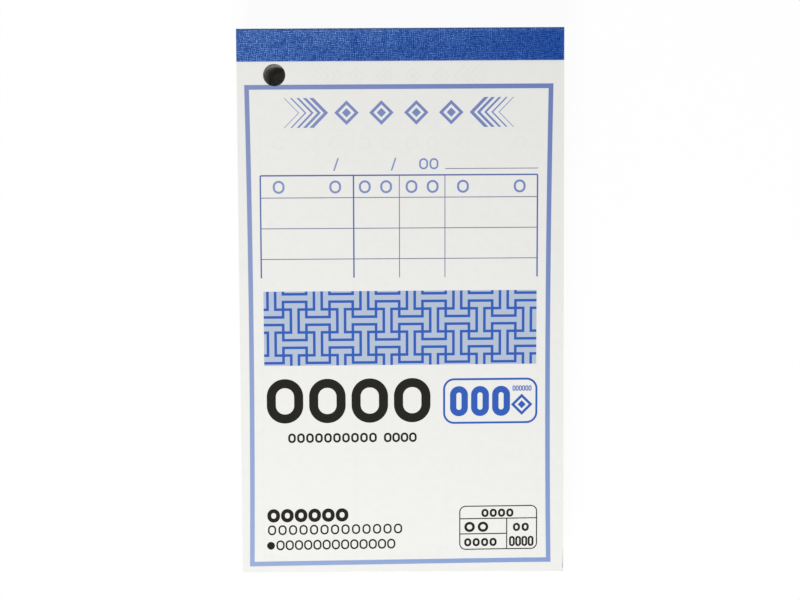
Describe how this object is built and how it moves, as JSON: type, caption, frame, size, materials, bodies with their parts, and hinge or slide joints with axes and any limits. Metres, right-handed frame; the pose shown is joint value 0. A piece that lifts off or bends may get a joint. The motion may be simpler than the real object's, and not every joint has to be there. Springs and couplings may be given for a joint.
{
  "type": "guest check pad",
  "caption": "Oblong pad of thin paper slips under a printed cover leaf, gummed and taped at the head, drilled near one corner for hanging, on a grey board.",
  "frame": {"origin": "middle of the pad's outline, on the surface that the pad lies on with its printed face up", "axes": "+X to the pad's right, +Y along its length to the bound head, +Z out of the printed face"},
  "size_m": [0.088, 0.148, 0.0163],
  "materials": {
    "greyboard": "uncoated grey board with flecks",
    "padding_gum": "brushed, slightly clear dried gum",
    "binding_tape": "blue binding tape with an embossed grain",
    "cover_paper": "thin white paper, printed in blue and black",
    "slip_paper": "thin white paper, printed in blue"
  },
  "bodies": {
    "pad": {"backing_board": "greyboard", "padding_gum": "padding_gum", "binding_tape": "binding_tape", "cover_bound_head": "cover_paper", "slips_004_010": "slip_paper", "slips_011_020": "slip_paper", "slips_021_030": "slip_paper", "slips_031_040": "slip_paper", "slips_041_050": "slip_paper", "slips_051_060": "slip_paper", "slips_061_070": "slip_paper", "slips_071_080": "slip_paper", "slips_081_090": "slip_paper", "slips_091_100": "slip_paper", "slips_101_110": "slip_paper", "slips_111_120": "slip_paper", "slips_121_130": "slip_paper", "slips_131_140": "slip_paper", "slips_141_150": "slip_paper", "slips_151_160": "slip_paper", "slips_161_170": "slip_paper", "slips_171_180": "slip_paper", "slips_181_190": "slip_paper", "slips_191_200": "slip_paper", "slips_201_210": "slip_paper", "slips_211_220": "slip_paper", "slips_221_230": "slip_paper", "slips_231_240": "slip_paper", "slips_241_250": "slip_paper"},
    "cover": {"cover_sheet": "cover_paper"},
    "slip_1": {"slip_001": "slip_paper"},
    "slip_2": {"slip_002": "slip_paper"},
    "slip_3": {"slip_003": "slip_paper"}
  },
  "joints": [
    {"name": "cover_flip", "type": "hinge", "parent": "pad", "child": "cover", "pos_m": [0, 0.065, 0.01679], "axis": [-1, 0, 0], "range_deg": [0, 178]},
    {"name": "slip_1_tear_off", "type": "slide", "parent": "pad", "child": "slip_1", "axis": [0, -1, 0], "range_m": [0, 0.148]},
    {"name": "slip_2_tear_off", "type": "slide", "parent": "pad", "child": "slip_2", "axis": [0, -1, 0], "range_m": [0, 0.148]},
    {"name": "slip_3_tear_off", "type": "slide", "parent": "pad", "child": "slip_3", "axis": [0, -1, 0], "range_m": [0, 0.148]}
  ]
}
